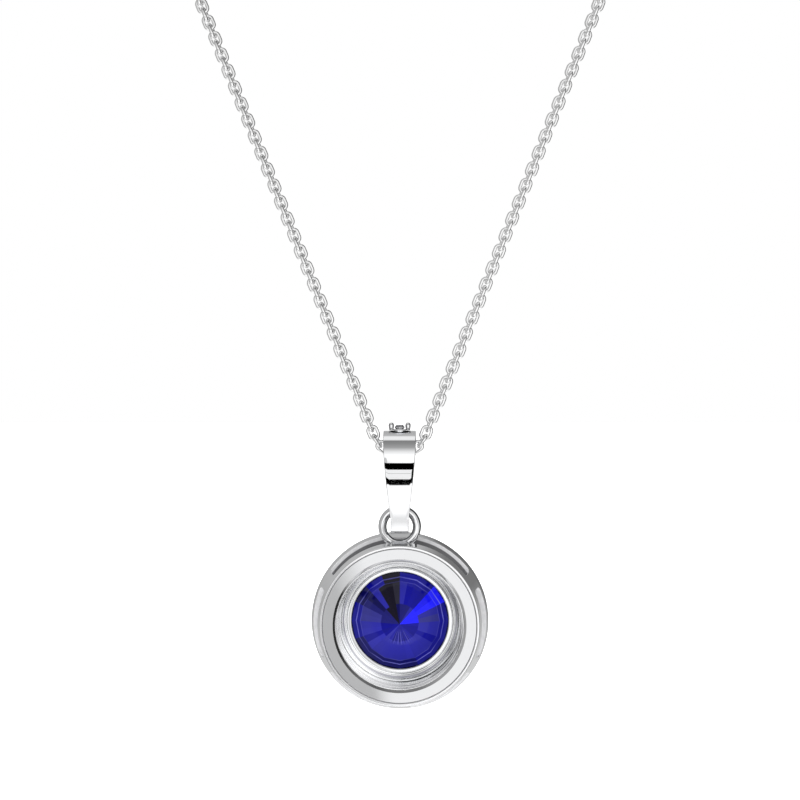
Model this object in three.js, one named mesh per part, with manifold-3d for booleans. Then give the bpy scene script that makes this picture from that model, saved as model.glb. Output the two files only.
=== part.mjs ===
// A pendant necklace: a round drum pendant with a pointed blue stone, hung by a ring from a
// tapered ribbon bail on a fine cable chain that closes at the nape with a lobster clasp.
// Millimetres, +Z up. The wearer's front is -Y. The origin is the middle of the pendant's back face.
import * as THREE from 'three';
import { mergeVertices } from 'three/addons/utils/BufferGeometryUtils.js';
import Module from 'manifold-3d';

const wasm = await Module();
wasm.setup();

// ---- driving dimensions ----
const GAP = 0.03; // between pieces that are set or soldered into each other
const ROUND = 48; // sides of the large turned pieces

const RIM_R = 8.0; // drum wall at its rear edge, the widest place
const LIP_R = 7.08; // drum wall at its front lip
const RIM_H = 2.6; // rear edge of the wall, ahead of the back face
const FACE_H = 5.82; // polished face ring
const LIP_H = 5.9; // crest of the front lip
const LIP_ROUND = 0.14; // its outer corner
const WALL = 0.72; // thickness of the drum wall
const SLOTS = 6;
const SLOT_LOW = 3.4;
const SLOT_HIGH = 4.95;
const SLOT_WIDTH = 6.1;
const SLOT_CORNER = 0.35;
const SEAT_IN = 6.3; // inner edge of the ledge that carries the face ring
const SEAT_THICK = 0.22;

const FACE_IN = 5.7;
const FACE_OUT = 6.77;
const FACE_THICK = 0.55;
const FACE_BEVEL = 0.19; // width of its inner bevel
const FACE_BEVEL_DEEP = 0.17;
const FACE_CORNER = 0.08;
const BOWL_TOP_R = 5.66;
const BOWL_TOP_H = 5.64;
const BOWL_WALL = 0.26;
const BOWL_LOW = [5.12, 3.5]; // radius and height of the bends in its inner side
const BOWL_MID = [5.38, 4.6];

const STONE_R = 4.5;
const STONE_SIDES = 16;
const GIRDLE_LOW = 2.45;
const GIRDLE_HIGH = 2.7;
const CROWN_TIP = 4.9;
const CULET = 0.62;
const COLLET_R = 4.8;
const COLLET_IN = 4.25;
const STONE_PLAY = 0.04;
const LIP_IN = 4.39; // how far the bezel's lip leaves the stone open
const FLOOR = 0.45; // back cover thickness
const BACK_FLAT_R = 5.3;
const BACK_EDGE = 0.08; // how far the cover stays inside the rim

const RING_Z = 8.62; // centre of the hanging ring above the drum's axis
const RING_H = 4.3; // its plane ahead of the back face
const RING_R = 1.52; // to the middle of its wire
const RING_WIRE = 0.4;

const BAIL_TOP_Z = 14.98; // centre of the bail's upper bend
const BAIL_TOP_R = 2.2;
const BAIL_FOOT_Z = 8.95; // centre of its lower bend
const BAIL_FOOT_R = 1.0;
const BAIL_THICK = 0.5;
const BAIL_EYE_Z = 9.96; // centre of the narrow end of the opening
const BAIL_EYE_R = 0.6;
const BAIL_HALF_FOOT = 0.8; // half width at the ring
const BAIL_HALF_GAIN = 0.64; // how much wider each half is at the crest
const BAIL_TAPER_Z = 9.3;
const BAIL_TAPER_RUN = 7.9;

const CUP_R = 0.52; // accent stone's setting, through the bail's crest
const CUP_WALL = 0.2;
const CUP_LOW = 15.82;
const CUP_HIGH = 17.3;
const FLANGE_R = 0.94;
const FLANGE_THICK = 0.09;
const ACCENT_R = 0.44;
const ACCENT_GIRDLE = [CUP_HIGH + 0.08, CUP_HIGH + 0.14];
const ACCENT_TABLE_Z = CUP_HIGH + 0.38;
const ACCENT_TABLE_R = 0.28;
const ACCENT_CULET_Z = CUP_HIGH - 0.25;
const SEAT_GAP = 0.03;
const CLAW_R = 0.2;
const CLAW_TIP_R = 0.24;
const CLAW_TIP_Z = 17.64;
const CLAW_REACH = 0.78;
const CLAW_ANGLE = 0.3; // radians off the bail's width direction

const WIRE = 0.15; // radius of the chain's wire
const LINK_LONG = 1.51;
const LINK_WIDE = 1.12;
const PITCH = 0.79;
const CHAIN_Z = 15.2; // lowest point of the chain's middle line
const BEND_R = 2.44; // bend of the chain inside the bail
const LEAN = 0.3816; // radians between each arm of the V and the vertical
const ARM_TOP_Z = 120;
const NAPE = new THREE.Vector3(8.2, 82, 146); // where each side meets the clasp
const RUN_R = 0.58; // envelope of a chain run
const RUN_SIDES = 6;
const JOINT_GAP = 0.5;
const NEAR_LINKS = 3; // separate links each side of the middle one
const PIVOT_LINKS = [24, 46, 68, 90, 112, 134, 204]; // links at which one run ends and the next begins

const CLASP_Z = NAPE.z;
const CLASP_Y = NAPE.y;
const CLASP_HALF = 0.75; // half thickness
const LEVER_HALF = 0.42;
const LEVER_PLAY = 0.08;
const PIN_R = 0.28;
const PIN_X = -0.55;
const PIN_Z = 1.35;
const TAIL_X = -4.2; // eye at the clasp's tail
const TAIL_R = 1.0;
const TAIL_EYE_R = 0.6;
const END_RING = { radius: 2.2, wire: 0.28, x: 4.8, z: -0.4 };
const JUMP_RING = { radius: 1.6, wire: 0.22, x: -5.8, z: 0 };

const SILVER = { color: 0xe9eaec, roughness: 0.07, metalness: 1 };
const BLUE_STONE = { color: 0x1414b0, roughness: 0.03, metalness: 0 };
const CLEAR_STONE = { color: 0xdfe6ee, roughness: 0.03, metalness: 0 };
const SPRING_STEEL = { color: 0xb4b6b8, roughness: 0.25, metalness: 1 };

// ---- helpers ----
const necklace = new THREE.Group();

function solidOf(geometry) {
  const bare = geometry.clone();
  bare.deleteAttribute('normal');
  bare.deleteAttribute('uv');
  const merged = mergeVertices(bare, 1e-5);
  return new wasm.Manifold(new wasm.Mesh({
    numProp: 3,
    vertProperties: merged.attributes.position.array,
    triVerts: new Uint32Array(merged.index.array),
  }));
}

function geometryOf(solid) {
  const mesh = solid.getMesh();
  const geometry = new THREE.BufferGeometry();
  geometry.setAttribute('position', new THREE.BufferAttribute(new Float32Array(mesh.vertProperties), 3));
  geometry.setIndex(new THREE.BufferAttribute(new Uint32Array(mesh.triVerts), 1));
  return geometry;
}

function addPiece(group, name, geometry, finish) {
  const mesh = new THREE.Mesh(geometry, new THREE.MeshStandardMaterial(finish));
  mesh.name = name;
  group.add(mesh);
  return mesh;
}

function turned(points, sides = ROUND) {
  const profile = points.map(([r, h]) => new THREE.Vector2(r, h));
  return new THREE.LatheGeometry(profile, sides);
}

function turnedRing(points, sides = ROUND) {
  return turned([...points, points[0]], sides);
}

function moved(geometry, x, y, z) {
  return geometry.translate(x, y, z);
}

// A shape drawn in (across, up) becomes a plate standing in the XZ plane, centred on Y.
function standingPlate(shape, half, curveSegments = 8) {
  const plate = new THREE.ExtrudeGeometry(shape, { depth: 2 * half, bevelEnabled: false, curveSegments });
  plate.translate(0, 0, -half);
  return plate.rotateX(Math.PI / 2);
}

function shapeOf(points) {
  return new THREE.Shape(points.map(([x, y]) => new THREE.Vector2(x, y)));
}

// ---- drum pendant: turned about its own +Y, which faces the wearer's front ----
const drum = new THREE.Group();
drum.rotation.x = Math.PI;
necklace.add(drum);

function wallProfile() {
  const ledge = FACE_H - FACE_THICK - GAP;
  return [
    [RIM_R, RIM_H],
    [RIM_R, RIM_H + 0.15],
    [LIP_R, LIP_H - LIP_ROUND - 0.06],
    [LIP_R - LIP_ROUND / 4, LIP_H - LIP_ROUND / 4],
    [LIP_R - LIP_ROUND, LIP_H],
    [FACE_OUT + GAP, LIP_H],
    [FACE_OUT + GAP, ledge],
    [SEAT_IN, ledge],
    [SEAT_IN, ledge - SEAT_THICK],
    [LIP_R - WALL + SEAT_THICK, ledge - SEAT_THICK],
    [RIM_R - WALL, RIM_H],
  ];
}

function slotCutter(turn) {
  const half = SLOT_WIDTH / 2;
  const corner = SLOT_CORNER;
  const shape = new THREE.Shape();
  shape.moveTo(-half + corner, SLOT_LOW);
  shape.lineTo(half - corner, SLOT_LOW);
  shape.absarc(half - corner, SLOT_LOW + corner, corner, -Math.PI / 2, 0);
  shape.lineTo(half, SLOT_HIGH - corner);
  shape.absarc(half - corner, SLOT_HIGH - corner, corner, 0, Math.PI / 2);
  shape.lineTo(-half + corner, SLOT_HIGH);
  shape.absarc(-half + corner, SLOT_HIGH - corner, corner, Math.PI / 2, Math.PI);
  shape.lineTo(-half, SLOT_LOW + corner);
  shape.absarc(-half + corner, SLOT_LOW + corner, corner, Math.PI, Math.PI * 1.5);
  const depth = RIM_R - SEAT_IN + 1;
  const cutter = new THREE.ExtrudeGeometry(shape, { depth, bevelEnabled: false, curveSegments: 3 });
  cutter.translate(0, 0, SEAT_IN);
  return cutter.rotateY(turn);
}

function ringSaddle() {
  const disc = new THREE.CylinderGeometry(
    RING_R + RING_WIRE + GAP, RING_R + RING_WIRE + GAP, 2 * (RING_WIRE + GAP), 32);
  return moved(disc, 0, RING_H, -RING_Z);
}

function makeWall() {
  let wall = solidOf(turnedRing(wallProfile()));
  for (let i = 0; i < SLOTS; i += 1) {
    wall = wall.subtract(solidOf(slotCutter((2 * Math.PI * (i + 0.5)) / SLOTS)));
  }
  wall = wall.subtract(solidOf(ringSaddle()));
  addPiece(drum, 'drum_wall', geometryOf(wall), SILVER);
}

function makeFaceRing() {
  const low = FACE_H - FACE_THICK;
  addPiece(drum, 'face_ring', turnedRing([
    [FACE_IN, low],
    [FACE_IN, FACE_H - FACE_BEVEL_DEEP],
    [FACE_IN + FACE_BEVEL, FACE_H],
    [FACE_OUT - FACE_CORNER, FACE_H],
    [FACE_OUT, FACE_H - FACE_CORNER],
    [FACE_OUT, low],
  ].reverse()), SILVER);
}

function makeBowl() {
  const foot = COLLET_R + GAP;
  addPiece(drum, 'reflector_bowl', turnedRing([
    [foot, RIM_H],
    [foot, RIM_H + 0.2],
    BOWL_LOW,
    BOWL_MID,
    [BOWL_TOP_R - 0.12, BOWL_TOP_H],
    [BOWL_TOP_R, BOWL_TOP_H],
    [BOWL_MID[0] + BOWL_WALL, BOWL_MID[1]],
    [BOWL_LOW[0] + BOWL_WALL, BOWL_LOW[1]],
    [foot + BOWL_WALL, RIM_H],
  ].reverse()), SILVER);
}

function makeCollet() {
  const top = GIRDLE_HIGH + 0.25;
  addPiece(drum, 'bezel_collet', turnedRing([
    [COLLET_IN, FLOOR + GAP],
    [COLLET_IN, GIRDLE_LOW - 0.3],
    [STONE_R + STONE_PLAY, GIRDLE_LOW - 0.08],
    [STONE_R + STONE_PLAY, GIRDLE_HIGH + 0.05],
    [LIP_IN, GIRDLE_HIGH + 0.12],
    [LIP_IN, top - 0.07],
    [LIP_IN + 0.12, top],
    [COLLET_R - 0.12, top],
    [COLLET_R, top - 0.13],
    [COLLET_R, FLOOR + GAP],
  ].reverse()), SILVER);
}

function makeStone() {
  addPiece(drum, 'blue_stone', turned([
    [0, CULET],
    [STONE_R, GIRDLE_LOW],
    [STONE_R, GIRDLE_HIGH],
    [0, CROWN_TIP],
  ], STONE_SIDES), BLUE_STONE);
}

function makeBackCover() {
  const rimTop = RIM_H - GAP;
  addPiece(drum, 'back_cover', turned([
    [0, 0],
    [BACK_FLAT_R, 0],
    [BACK_FLAT_R + 0.35, 0.14],
    [RIM_R - BACK_EDGE, rimTop - 0.12],
    [RIM_R - BACK_EDGE, rimTop],
    [RIM_R - WALL, rimTop],
    [BACK_FLAT_R + 0.2, FLOOR],
    [0, FLOOR],
  ]), SILVER);
}

function makeHangingRing() {
  const ring = new THREE.TorusGeometry(RING_R, RING_WIRE, 10, 36).rotateX(Math.PI / 2);
  addPiece(drum, 'hanging_ring', moved(ring, 0, RING_H, -RING_Z), SILVER);
}

makeWall();
makeFaceRing();
makeBowl();
makeCollet();
makeStone();
makeBackCover();
makeHangingRing();

// ---- bail and its accent stone ----
const bail = new THREE.Group();
bail.position.y = -RING_H;
necklace.add(bail);

// A loop drawn as two bends joined by their common tangents, clockwise from the right side.
function tangentLoop(path, topZ, topR, footZ, footR) {
  const lean = Math.asin((topR - footR) / (topZ - footZ));
  path.absarc(0, topZ, topR, -lean, Math.PI + lean, false);
  path.absarc(0, footZ, footR, Math.PI + lean, 2 * Math.PI - lean, false);
  return path;
}

function bailLoop() {
  const loop = tangentLoop(new THREE.Shape(), BAIL_TOP_Z, BAIL_TOP_R, BAIL_FOOT_Z, BAIL_FOOT_R);
  const opening = tangentLoop(new THREE.Path(), BAIL_TOP_Z, BAIL_TOP_R - BAIL_THICK, BAIL_EYE_Z, BAIL_EYE_R);
  loop.holes.push(opening);
  const band = new THREE.ExtrudeGeometry(loop, { depth: 4, bevelEnabled: false, curveSegments: 14 });
  band.translate(0, 0, -2);
  band.rotateX(Math.PI / 2);
  return band.rotateZ(Math.PI / 2);
}

function bailHalfWidth(z) {
  const t = Math.min(1, Math.max(0, (z - BAIL_TAPER_Z) / BAIL_TAPER_RUN));
  return BAIL_HALF_FOOT + BAIL_HALF_GAIN * Math.sin((Math.PI / 2) * t);
}

function bailFront() {
  const steps = 10;
  const low = BAIL_FOOT_Z - 2;
  const high = BAIL_TOP_Z + 3;
  const levels = [low];
  for (let i = 0; i <= steps; i += 1) {
    levels.push(BAIL_TAPER_Z + (BAIL_TAPER_RUN * i) / steps);
  }
  levels.push(high);
  const right = levels.map((z) => [bailHalfWidth(z), z]);
  const left = levels.map((z) => [-bailHalfWidth(z), z]).reverse();
  return standingPlate(shapeOf([...right, ...left]), 4);
}

function makeBail() {
  const seatHole = new THREE.CylinderGeometry(CUP_R + GAP, CUP_R + GAP, 3, 20).rotateX(Math.PI / 2);
  const band = solidOf(bailLoop())
    .intersect(solidOf(bailFront()))
    .subtract(solidOf(moved(seatHole, 0, 0, BAIL_TOP_Z + BAIL_TOP_R)));
  addPiece(bail, 'bail_band', geometryOf(band), SILVER);
}

function claw(side, frontBack) {
  const angle = Math.atan2(frontBack * Math.sin(CLAW_ANGLE), side * Math.cos(CLAW_ANGLE));
  const x = CLAW_REACH * Math.cos(angle);
  const y = CLAW_REACH * Math.sin(angle);
  const foot = CUP_HIGH - FLANGE_THICK / 2;
  const post = new THREE.CylinderGeometry(CLAW_R, CLAW_R, CLAW_TIP_Z - foot, 10).rotateX(Math.PI / 2);
  const tip = new THREE.SphereGeometry(CLAW_TIP_R, 10, 6);
  return solidOf(moved(post, x, y, (CLAW_TIP_Z + foot) / 2)).add(solidOf(moved(tip, x, y, CLAW_TIP_Z)));
}

function accentTurned(grown) {
  return turned([
    [0, ACCENT_CULET_Z - grown],
    [ACCENT_R + grown, ACCENT_GIRDLE[0] - grown / 2],
    [ACCENT_R + grown, ACCENT_GIRDLE[1] + grown / 2],
    [ACCENT_TABLE_R + grown, ACCENT_TABLE_Z + grown],
    [0, ACCENT_TABLE_Z + grown],
  ], 16).rotateX(Math.PI / 2);
}

function makeAccent() {
  const cup = turnedRing([
    [CUP_R - CUP_WALL, CUP_LOW],
    [CUP_R, CUP_LOW],
    [CUP_R, CUP_HIGH - FLANGE_THICK],
    [FLANGE_R, CUP_HIGH - FLANGE_THICK],
    [FLANGE_R, CUP_HIGH],
    [CUP_R - 0.12, CUP_HIGH],
    [CUP_R - CUP_WALL, CUP_HIGH - 0.3],
  ], 20).rotateX(Math.PI / 2);
  let setting = solidOf(cup);
  for (const side of [-1, 1]) {
    for (const frontBack of [-1, 1]) {
      setting = setting.add(claw(side, frontBack));
    }
  }
  const stone = accentTurned(0);
  const clearance = accentTurned(SEAT_GAP);
  addPiece(bail, 'accent_setting', geometryOf(setting.subtract(solidOf(clearance))), SILVER);
  addPiece(bail, 'accent_stone', stone, CLEAR_STONE);
}

makeBail();
makeAccent();

// ---- chain: its middle line, from the bail up one side to the nape ----
const chain = new THREE.Group();
necklace.add(chain);
const BEND_END = BEND_R * (Math.PI / 2 - LEAN); // length of the bend on each side
const ARM_FOOT = new THREE.Vector3(
  BEND_R * Math.cos(LEAN), -RING_H, CHAIN_Z + BEND_R * (1 - Math.sin(LEAN)));
const ARM_DIRECTION = new THREE.Vector3(Math.sin(LEAN), 0, Math.cos(LEAN));
const ARM_LENGTH = (ARM_TOP_Z - ARM_FOOT.z) / ARM_DIRECTION.z;
const ARM_TOP = ARM_FOOT.clone().addScaledVector(ARM_DIRECTION, ARM_LENGTH);
const COLLAR = new THREE.CubicBezierCurve3(
  ARM_TOP,
  ARM_TOP.clone().addScaledVector(ARM_DIRECTION, 34),
  new THREE.Vector3(NAPE.x + 44, NAPE.y, NAPE.z + 4),
  NAPE,
);
const COLLAR_LENGTH = COLLAR.getLength();
const HALF_LENGTH = BEND_END + ARM_LENGTH + COLLAR_LENGTH;

function chainPoint(s) {
  if (s < BEND_END) {
    const turn = s / BEND_R;
    return new THREE.Vector3(BEND_R * Math.sin(turn), -RING_H, CHAIN_Z + BEND_R * (1 - Math.cos(turn)));
  }
  if (s < BEND_END + ARM_LENGTH) {
    return ARM_FOOT.clone().addScaledVector(ARM_DIRECTION, s - BEND_END);
  }
  return COLLAR.getPointAt(Math.min(1, (s - BEND_END - ARM_LENGTH) / COLLAR_LENGTH));
}

class ChainRun extends THREE.Curve {
  constructor(from, to, side) {
    super();
    this.from = from;
    this.to = to;
    this.side = side;
  }

  getPoint(t, target = new THREE.Vector3()) {
    const p = chainPoint(this.from + (this.to - this.from) * t);
    return target.set(this.side * p.x, p.y, p.z);
  }
}

function makeRun(name, from, to, side) {
  const hexagon = new THREE.Shape();
  for (let i = 0; i < RUN_SIDES; i += 1) {
    const a = (2 * Math.PI * i) / RUN_SIDES;
    const at = [RUN_R * Math.cos(a), RUN_R * Math.sin(a)];
    if (i === 0) {
      hexagon.moveTo(...at);
    } else {
      hexagon.lineTo(...at);
    }
  }
  const straight = from < BEND_END + ARM_LENGTH && to < BEND_END + ARM_LENGTH;
  const steps = straight ? 1 : 16;
  const extrudePath = new ChainRun(from, to, side);
  addPiece(chain, name, new THREE.ExtrudeGeometry(hexagon, { steps, extrudePath }), SILVER);
}

// One oval link of round wire, in its own XY plane with its length along X: a ring pulled out lengthways.
function linkGeometry() {
  const stretch = (LINK_LONG - LINK_WIDE) / 2;
  const link = new THREE.TorusGeometry(LINK_WIDE / 2 - WIRE, WIRE, 6, 16);
  const position = link.attributes.position;
  for (let i = 0; i < position.count; i += 1) {
    const x = position.getX(i);
    position.setX(i, x + stretch * THREE.MathUtils.clamp(x / WIRE, -1, 1));
  }
  return link;
}

function makeNearLinks() {
  for (let k = -NEAR_LINKS; k <= NEAR_LINKS; k += 1) {
    const side = Math.sign(k) || 1;
    const at = chainPoint(Math.abs(k) * PITCH);
    const turn = (k * PITCH) / BEND_R;
    const edgeOn = k % 2 !== 0;
    const link = linkGeometry();
    link.rotateX(edgeOn ? 0 : Math.PI / 2);
    link.rotateY(-turn);
    const where = k < 0 ? `left_${-k}` : `right_${k}`;
    const mesh = addPiece(chain, k === 0 ? 'link_middle' : `link_${where}`, link, SILVER);
    mesh.position.set(side * at.x, at.y, at.z);
  }
}

function makeRuns() {
  const ends = PIVOT_LINKS.map((k) => k * PITCH + LINK_LONG / 2 - WIRE);
  const first = NEAR_LINKS * PITCH + LINK_LONG / 2 + 2 * GAP;
  const names = ['run_1', 'run_2', 'run_3', 'run_4', 'run_5', 'run_6', 'shoulder', 'nape'];
  names.forEach((name, i) => {
    const from = i === 0 ? first : ends[i - 1] + JOINT_GAP / 2;
    const to = i < ends.length ? ends[i] - JOINT_GAP / 2 : HALF_LENGTH;
    makeRun(`chain_${name}_right`, from, to, 1);
    makeRun(`chain_${name}_left`, from, to, -1);
  });
}

makeNearLinks();
makeRuns();

// ---- clasp at the nape, flat against the neck; drawn in (across, up) about its own middle ----
const clasp = new THREE.Group();
clasp.position.set(0, CLASP_Y, CLASP_Z);
necklace.add(clasp);

function claspOutline() {
  const outline = new THREE.Shape();
  outline.moveTo(TAIL_X, -TAIL_R);
  outline.bezierCurveTo(-2.5, -1.1, -1.5, -2.1, 0.6, -2.2);
  outline.bezierCurveTo(3.0, -2.2, 4.6, -1.0, 4.6, 0.5);
  outline.bezierCurveTo(4.6, 1.4, 3.9, 2.0, 3.2, 2.2);
  outline.lineTo(-0.6, 2.0);
  outline.bezierCurveTo(-2.0, 1.7, -2.6, 1.1, TAIL_X, TAIL_R);
  outline.absarc(TAIL_X, 0, TAIL_R, Math.PI / 2, Math.PI * 1.5, false);
  outline.holes.push(new THREE.Path().absarc(TAIL_X, 0, TAIL_EYE_R, 0, 2 * Math.PI, true));
  return outline;
}

function claspMouth() {
  const mouth = new THREE.Shape();
  mouth.moveTo(0.3, 2.6);
  mouth.lineTo(0.3, -0.2);
  mouth.bezierCurveTo(0.4, -1.0, 1.2, -1.25, 1.9, -1.25);
  mouth.bezierCurveTo(2.9, -1.2, 3.6, -0.6, 3.6, 0.3);
  mouth.bezierCurveTo(3.6, 0.8, 3.4, 1.1, 3.15, 1.25);
  mouth.lineTo(2.75, 1.35);
  mouth.lineTo(2.95, 2.6);
  return mouth;
}

function makeClaspBody() {
  const leverSlot = shapeOf([[-1.9, 0.55], [0.7, 0.35], [0.7, 2.6], [-1.9, 2.6]]);
  const pinHole = new THREE.CylinderGeometry(PIN_R + GAP, PIN_R + GAP, 4, 16);
  const body = solidOf(standingPlate(claspOutline(), CLASP_HALF))
    .subtract(solidOf(standingPlate(claspMouth(), CLASP_HALF + 1)))
    .subtract(solidOf(standingPlate(leverSlot, LEVER_HALF + LEVER_PLAY)))
    .subtract(solidOf(moved(pinHole, PIN_X, 0, PIN_Z)));
  addPiece(clasp, 'clasp_body', geometryOf(body), SILVER);
}

function makeClaspLever() {
  const outline = shapeOf([
    [-1.1, 0.95], [-0.2, 0.85], [0.4, 1.35], [2.6, 1.5],
    [2.75, 1.8], [2.5, 2.05], [0.2, 2.05], [-0.5, 2.3], [-1.2, 2.75], [-1.5, 2.6], [-1.15, 1.9],
  ]);
  const pinHole = new THREE.CylinderGeometry(PIN_R + GAP, PIN_R + GAP, 4, 16);
  const lever = solidOf(standingPlate(outline, LEVER_HALF))
    .subtract(solidOf(moved(pinHole, PIN_X, 0, PIN_Z)));
  addPiece(clasp, 'clasp_lever', geometryOf(lever), SILVER);
}

function makeClaspPin() {
  const pin = new THREE.CylinderGeometry(PIN_R, PIN_R, 2 * CLASP_HALF, 16);
  addPiece(clasp, 'clasp_pin', moved(pin, PIN_X, 0, PIN_Z), SPRING_STEEL);
}

function makeClaspSpring() {
  const strip = shapeOf([[-1.75, 0.62], [0.1, 0.5], [0.55, 0.95], [0.46, 1.03], [0.05, 0.62], [-1.7, 0.74]]);
  addPiece(clasp, 'clasp_spring', standingPlate(strip, LEVER_HALF - 0.1), SPRING_STEEL);
}

function makeRing(name, { radius, wire, x, z }) {
  const ring = new THREE.TorusGeometry(radius, wire, 8, 24);
  const mesh = addPiece(clasp, name, ring, SILVER);
  mesh.position.set(x, 0, z);
}

makeClaspBody();
makeClaspLever();
makeClaspPin();
makeClaspSpring();
makeRing('end_ring', END_RING);
makeRing('jump_ring', JUMP_RING);

export default necklace;
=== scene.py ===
"""A pendant necklace in a plain studio: drum pendant with a pointed blue stone, ribbon bail, cable chain.

Sizes below are in millimetres. The drum's axis is the Y axis, and its front faces -Y.
"""

import math
import random

import bmesh
import bpy
from mathutils import Matrix, Vector


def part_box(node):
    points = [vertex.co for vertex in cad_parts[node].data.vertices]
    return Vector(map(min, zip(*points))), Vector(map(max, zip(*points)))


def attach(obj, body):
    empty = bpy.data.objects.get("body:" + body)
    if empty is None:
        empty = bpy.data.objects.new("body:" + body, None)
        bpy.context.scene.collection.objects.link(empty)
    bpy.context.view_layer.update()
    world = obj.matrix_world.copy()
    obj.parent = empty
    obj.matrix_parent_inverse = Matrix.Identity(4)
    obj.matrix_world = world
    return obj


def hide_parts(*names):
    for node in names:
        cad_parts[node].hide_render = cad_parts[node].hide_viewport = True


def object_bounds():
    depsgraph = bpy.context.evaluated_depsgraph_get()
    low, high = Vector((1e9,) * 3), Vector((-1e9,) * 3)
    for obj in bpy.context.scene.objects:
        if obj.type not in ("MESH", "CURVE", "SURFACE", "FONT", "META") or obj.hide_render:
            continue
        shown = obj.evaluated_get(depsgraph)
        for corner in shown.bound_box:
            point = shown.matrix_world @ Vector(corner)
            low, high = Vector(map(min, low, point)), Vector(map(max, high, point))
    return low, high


MM = 0.001
CREASE = 35.0  # degrees
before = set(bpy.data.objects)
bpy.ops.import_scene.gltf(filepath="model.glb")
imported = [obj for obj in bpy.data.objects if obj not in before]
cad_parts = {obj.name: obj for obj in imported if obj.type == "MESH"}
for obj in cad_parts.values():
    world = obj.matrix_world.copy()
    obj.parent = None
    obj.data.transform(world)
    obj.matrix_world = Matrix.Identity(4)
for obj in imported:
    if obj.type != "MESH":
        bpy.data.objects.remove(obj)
cad_low, cad_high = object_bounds()


# ---- sizes read from the CAD parts
def box_mm(node):
    low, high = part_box(node)
    return low / MM, high / MM


wall_low, wall_high = box_mm("drum_wall")
RIM_R = wall_high.x
RIM_H = -wall_high.y
LIP_H = -wall_low.y
stone_low, stone_high = box_mm("blue_stone")
STONE_R = stone_high.x
STONE_TIP = -stone_low.y
CULET = -stone_high.y
face_low, face_high = box_mm("face_ring")
FACE_OUT = face_high.x
FACE_H = -face_low.y
FACE_BACK = -face_high.y
bowl_low, bowl_high = box_mm("reflector_bowl")
BOWL_R = bowl_high.x
collet_low, collet_high = box_mm("bezel_collet")
COLLET_R = collet_high.x
COLLET_TOP = -collet_low.y
COLLET_FOOT = -collet_high.y
cover_low, cover_high = box_mm("back_cover")
COVER_R = cover_high.x
ring_low, ring_high = box_mm("hanging_ring")
RING_MID = (ring_low + ring_high) / 2
RING_WIRE = (ring_high.y - ring_low.y) / 2
RING_R = ring_high.x - RING_WIRE
bail_low, bail_high = box_mm("bail_band")
seat_low, seat_high = box_mm("accent_setting")
accent_low, accent_high = box_mm("accent_stone")
CHAIN_Y = RING_MID.y

# ---- sizes of the fine shapes
LIP_R = 7.08
LIP_FOOT = LIP_H - 0.2
WALL = 0.72
SLOTS = 6
SLOT_LOW = 3.4
SLOT_HIGH = 4.95
SLOT_HALF_ANGLE = math.radians(23.9)
SLOT_CORNER = 0.34
FACE_IN = 5.7
FACE_BEVEL = 0.19
FACE_BEVEL_DEEP = 0.176
STONE_SIDES = 16
GIRDLE_LOW = 2.45
GIRDLE_HIGH = 2.7
LIP_IN = 4.39
GAP = 0.03
FACE_GAP = 0.085

WIRE = 0.15
LINK_LONG = 1.51
LINK_WIDE = 1.12
JOINING_WIDE = 1.32
PITCH = 0.79
CHAIN_Z = 15.2
BEND_R = 2.44
LEAN = 0.3816
ARM_TOP_Z = 120.0
NEAR_LINKS = 3
RUN_ENDS = (24, 46, 68, 90, 112, 134, 204)
RUN_NAMES = ("run_1", "run_2", "run_3", "run_4", "run_5", "run_6", "shoulder", "nape")


# ---- mesh helpers
def link_object(name, data):
    obj = bpy.data.objects.new(name, data)
    bpy.context.scene.collection.objects.link(obj)
    return obj


def turns(count):
    """Evenly spaced angles round a full turn."""
    return [2 * math.pi * k / count for k in range(count)]


def mesh_object(name, points, faces, crease=CREASE):
    """A smooth-shaded mesh from points in millimetres, with edges over the crease angle kept sharp."""
    mesh = bpy.data.meshes.new(name)
    mesh.from_pydata([Vector(p) * MM for p in points], [], faces)
    mesh.validate()
    bm = bmesh.new()
    bm.from_mesh(mesh)
    bmesh.ops.recalc_face_normals(bm, faces=bm.faces)
    bm.to_mesh(mesh)
    bm.free()
    mesh.shade_smooth()
    mesh.set_sharp_from_angle(angle=math.radians(crease))
    return link_object(name, mesh)


def weighted(obj, crease=CREASE):
    """Broad faces keep their own direction: a flat stays a flat mirror beside its round edges."""
    mesh = obj.data
    around = [[] for _ in mesh.vertices]
    for face in mesh.polygons:
        for v in face.vertices:
            around[v].append((face.normal.copy(), face.area ** 2))
    limit = math.cos(math.radians(crease))
    normals = [None] * len(mesh.loops)
    for face in mesh.polygons:
        for loop, v in zip(face.loop_indices, face.vertices):
            near = [n * weight for n, weight in around[v] if n.dot(face.normal) > limit]
            normals[loop] = sum(near, Vector()).normalized()
    mesh.normals_split_custom_set(normals)
    return obj


def rounded(points, radii, steps=5):
    """A closed outline with each corner cut to an arc of its own radius."""
    out = []
    count = len(points)
    for i, (x, y) in enumerate(points):
        here = Vector((x, y))
        before = Vector(points[i - 1]) - here
        after = Vector(points[(i + 1) % count]) - here
        radius = radii[i]
        half = before.angle(after, math.pi) / 2
        if radius <= 0 or half > math.radians(88):
            out.append((x, y))
            continue
        reach = min(radius / math.tan(half), before.length * 0.49, after.length * 0.49)
        radius = reach * math.tan(half)
        start = here + before.normalized() * reach
        end = here + after.normalized() * reach
        centre = here + (before.normalized() + after.normalized()).normalized() * (radius / math.sin(half))
        a, b = start - centre, end - centre
        sweep = a.angle(b)
        turn = 1 if a.x * b.y - a.y * b.x > 0 else -1
        for k in range(steps + 1):
            rotated = Matrix.Rotation(turn * sweep * k / steps, 2) @ a
            out.append(tuple(centre + rotated))
    return out


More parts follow.
